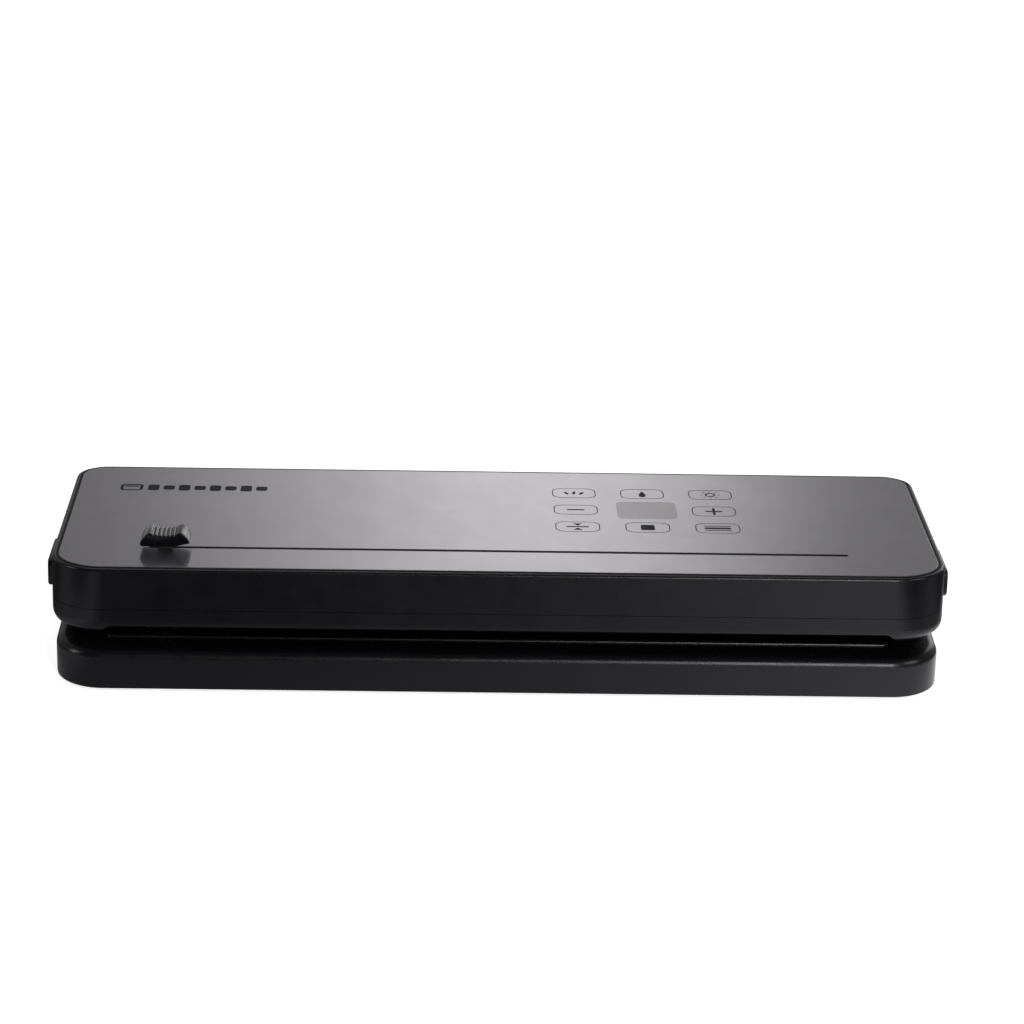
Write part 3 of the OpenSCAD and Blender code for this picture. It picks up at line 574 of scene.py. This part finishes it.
# A plain row: a bag, then a strip of blocks that stand for sealed portions
BADGE_X, BADGE_BACK = -139.5, 30.5
badge = joined(
    [hoop(9, 8.2, 1.8, 1.4, x=-28.5), bar(7, 1.6, x=-28.5, y=1.6)]
    + [bar(5.2, 8.4 - 2.2 * (k % 2), 1.4, x=-18.5 + 7.1 * k) for k in range(8)]
)
piece(
    "panel_badge", moved(badge, BADGE_X, panel_high.y - BADGE_BACK, PANEL_Z), "lid", "part_dark", PRINT_AND_PAINTED_SHADE,
    LID_POSE,
)

# ---------- camera ----------

# Frame coordinates of the lens, and the directions that it looks in
CAMERA_AT = Vector((-0.03169, -1.47515, 0.62378))
CAMERA_FORWARD = Vector((0.024014, 0.933272, -0.358368))
CAMERA_UP = Vector((-0.012929, 0.358731, 0.933351))
LENS_MM = 123.43


def camera():
    data = bpy.data.cameras.new("camera")
    data.lens, data.sensor_width = LENS_MM, 36
    data.clip_start, data.clip_end = 0.05, 50
    obj = bpy.data.objects.new("camera", data)
    back = -CAMERA_FORWARD.normalized()
    right = CAMERA_UP.cross(back).normalized()
    up = back.cross(right)
    turn = Matrix((right, up, back)).transposed().to_4x4()
    obj.matrix_world = Matrix.Translation(CAMERA_AT) @ turn
    bpy.context.scene.collection.objects.link(obj)
    bpy.context.scene.camera = obj


# ---------- studio ----------


def soft_light(name, at, aim, size, power):
    """A white panel of light that the camera doesn't see."""
    data = bpy.data.lights.new(name, "AREA")
    data.shape, data.size, data.size_y = "RECTANGLE", *size
    data.energy = power
    obj = bpy.data.objects.new(name, data)
    obj.location = at
    obj.rotation_mode = "QUATERNION"
    obj.rotation_quaternion = (Vector(aim) - Vector(at)).to_track_quat("-Z", "Y")
    obj.visible_camera = False
    bpy.context.scene.collection.objects.link(obj)


def hump(tree, across, at, strength, band):
    """A smooth hump of brightness across one coordinate: full within band[0] of at, none past band[1]."""
    off = add(tree, "ShaderNodeMath", {0: across, 1: at}, operation="SUBTRACT").outputs[0]
    away = add(tree, "ShaderNodeMath", {0: off}, operation="ABSOLUTE").outputs[0]
    inputs = {"Value": away, "From Min": band[0], "From Max": band[1], "To Min": strength, "To Max": 0}
    return add(tree, "ShaderNodeMapRange", inputs, interpolation_type="SMOOTHSTEP").outputs["Result"]


def product(tree, first, second):
    return add(tree, "ShaderNodeMath", {0: first, 1: second}, operation="MULTIPLY").outputs[0]


def total(tree, *values):
    """The sum of several sockets or numbers."""
    result = values[0]
    for value in values[1:]:
        result = add(tree, "ShaderNodeMath", {0: result, 1: value}, operation="ADD").outputs[0]
    return result


def studio():
    """A room that is plain white to the camera. Reflections see it dim, with bright bands behind."""
    world = bpy.data.worlds.new("studio")
    bpy.context.scene.world = world
    world.use_nodes = True
    tree = world.node_tree
    tree.nodes.clear()
    direction = add(tree, "ShaderNodeTexCoord").outputs["Generated"]
    split = add(tree, "ShaderNodeSeparateXYZ", {"Vector": direction})
    across, along = split.outputs["X"], split.outputs["Y"]
    glow = total(
        tree,
        hump(tree, across, 0.015, 1.1, (0, 0.12)),
        hump(tree, across, 0.045, 0.6, (0, 0.08)),
        hump(tree, across, 0.4, 1.5, (0.08, 0.2)),
    )
    behind = spread(tree, along, 0, 1, (0.6, 0.85))
    level = total(tree, spread(tree, along, 0.04, 0.31, (-0.5, 0.6)), product(tree, glow, behind))
    seen = add(tree, "ShaderNodeBackground", {"Color": (1, 1, 1, 1), "Strength": 1.0})
    lit = add(tree, "ShaderNodeBackground", {"Color": (1, 0.975, 1, 1), "Strength": level})
    path = add(tree, "ShaderNodeLightPath")
    mix = add(tree, "ShaderNodeMixShader", {"Fac": path.outputs["Is Camera Ray"]})
    tree.links.new(lit.outputs[0], mix.inputs[1])
    tree.links.new(seen.outputs[0], mix.inputs[2])
    add(tree, "ShaderNodeOutputWorld", {"Surface": mix.outputs[0]})
    soft_light("key_right", (1.5, -1.0, 0.9), (0.1, 0, 0), (0.9, 0.9), 9)
    soft_light("edge_right", (0.36, -1.45, 0.42), (0.14, -0.09, 0.02), (0.25, 0.7), 9)
    soft_light("edge_left", (-1.9, -0.5, 0.6), (-0.15, 0, 0.02), (0.4, 0.9), 6)
    soft_light("top", (0, 0.5, 2.0), (0, 0, 0), (2.0, 1.0), 8)


FLOOR_W = 24


def floor():
    """Even pale paper to the camera. Reflections see it dim, but for a few places near the object, where pools of
    light are painted into its glow.
    """
    half = FLOOR_W / 2
    mesh = bpy.data.meshes.new("floor")
    corners = [(-half, -half, 0), (half, -half, 0), (half, half, 0), (-half, half, 0)]
    mesh.from_pydata(corners, [], [(0, 1, 2, 3)])
    obj = bpy.data.objects.new("floor", mesh)
    bpy.context.scene.collection.objects.link(obj)
    material, tree, shader = new_material("floor_paper", {"Specular IOR Level": 0.2})
    cloud = noise(tree, 300, 3)
    finish_material(
        material, tree, shader,
        two_tone(tree, cloud, (0.88, 0.88, 0.88), (0.9, 0.9, 0.9)),
        spread(tree, cloud, 0.5, 0.6),
        bumped(tree, [(noise(tree, 2, 2), 0.02, 0.1)]),
    )
    glow = add(tree, "ShaderNodeEmission", {"Color": (1, 1, 1, 1), "Strength": 0.75})
    at = add(tree, "ShaderNodeTexCoord").outputs["Object"]
    split = add(tree, "ShaderNodeSeparateXYZ", {"Vector": at})
    x, y = split.outputs["X"], split.outputs["Y"]
    # Painted light, seen only in reflections: the floor glows brighter towards the right up to x = 0.2 m and not
    # past 0.26 m, in a spot at the front left, in a band behind and in a strip just in front
    ramp = add(tree, "ShaderNodeMath", {0: spread(tree, x, 0, 1, (-0.2, 0.3)), 1: 2.3}, operation="POWER")
    right = product(tree, ramp.outputs[0], spread(tree, x, 1.9, 0, (0.2, 0.26)))
    left = product(tree, hump(tree, x, -0.24, 0.6, (0.01, 0.05)), spread(tree, y, 1, 0, (-0.12, -0.05)))
    back = spread(tree, y, 0, 0.5, (0.25, 0.4))
    near = product(tree, spread(tree, y, 0, 0.3, (-0.2, -0.1)), spread(tree, y, 1, 0, (-0.07, 0)))
    level = total(tree, right, left, back, near, 0.04)
    dim = add(tree, "ShaderNodeEmission", {"Color": (0.97, 0.96, 1, 1), "Strength": level})
    path = add(tree, "ShaderNodeLightPath").outputs["Is Camera Ray"]
    paper = add(tree, "ShaderNodeAddShader")
    tree.links.new(shader.outputs[0], paper.inputs[0])
    tree.links.new(glow.outputs[0], paper.inputs[1])
    mix = add(tree, "ShaderNodeMixShader", {"Fac": path})
    tree.links.new(dim.outputs[0], mix.inputs[1])
    tree.links.new(paper.outputs[0], mix.inputs[2])
    tree.links.new(mix.outputs[0], tree.nodes["Material Output"].inputs["Surface"])
    dress(obj, material)


camera()
studio()
floor()
bpy.context.scene.view_settings.view_transform = "Standard"
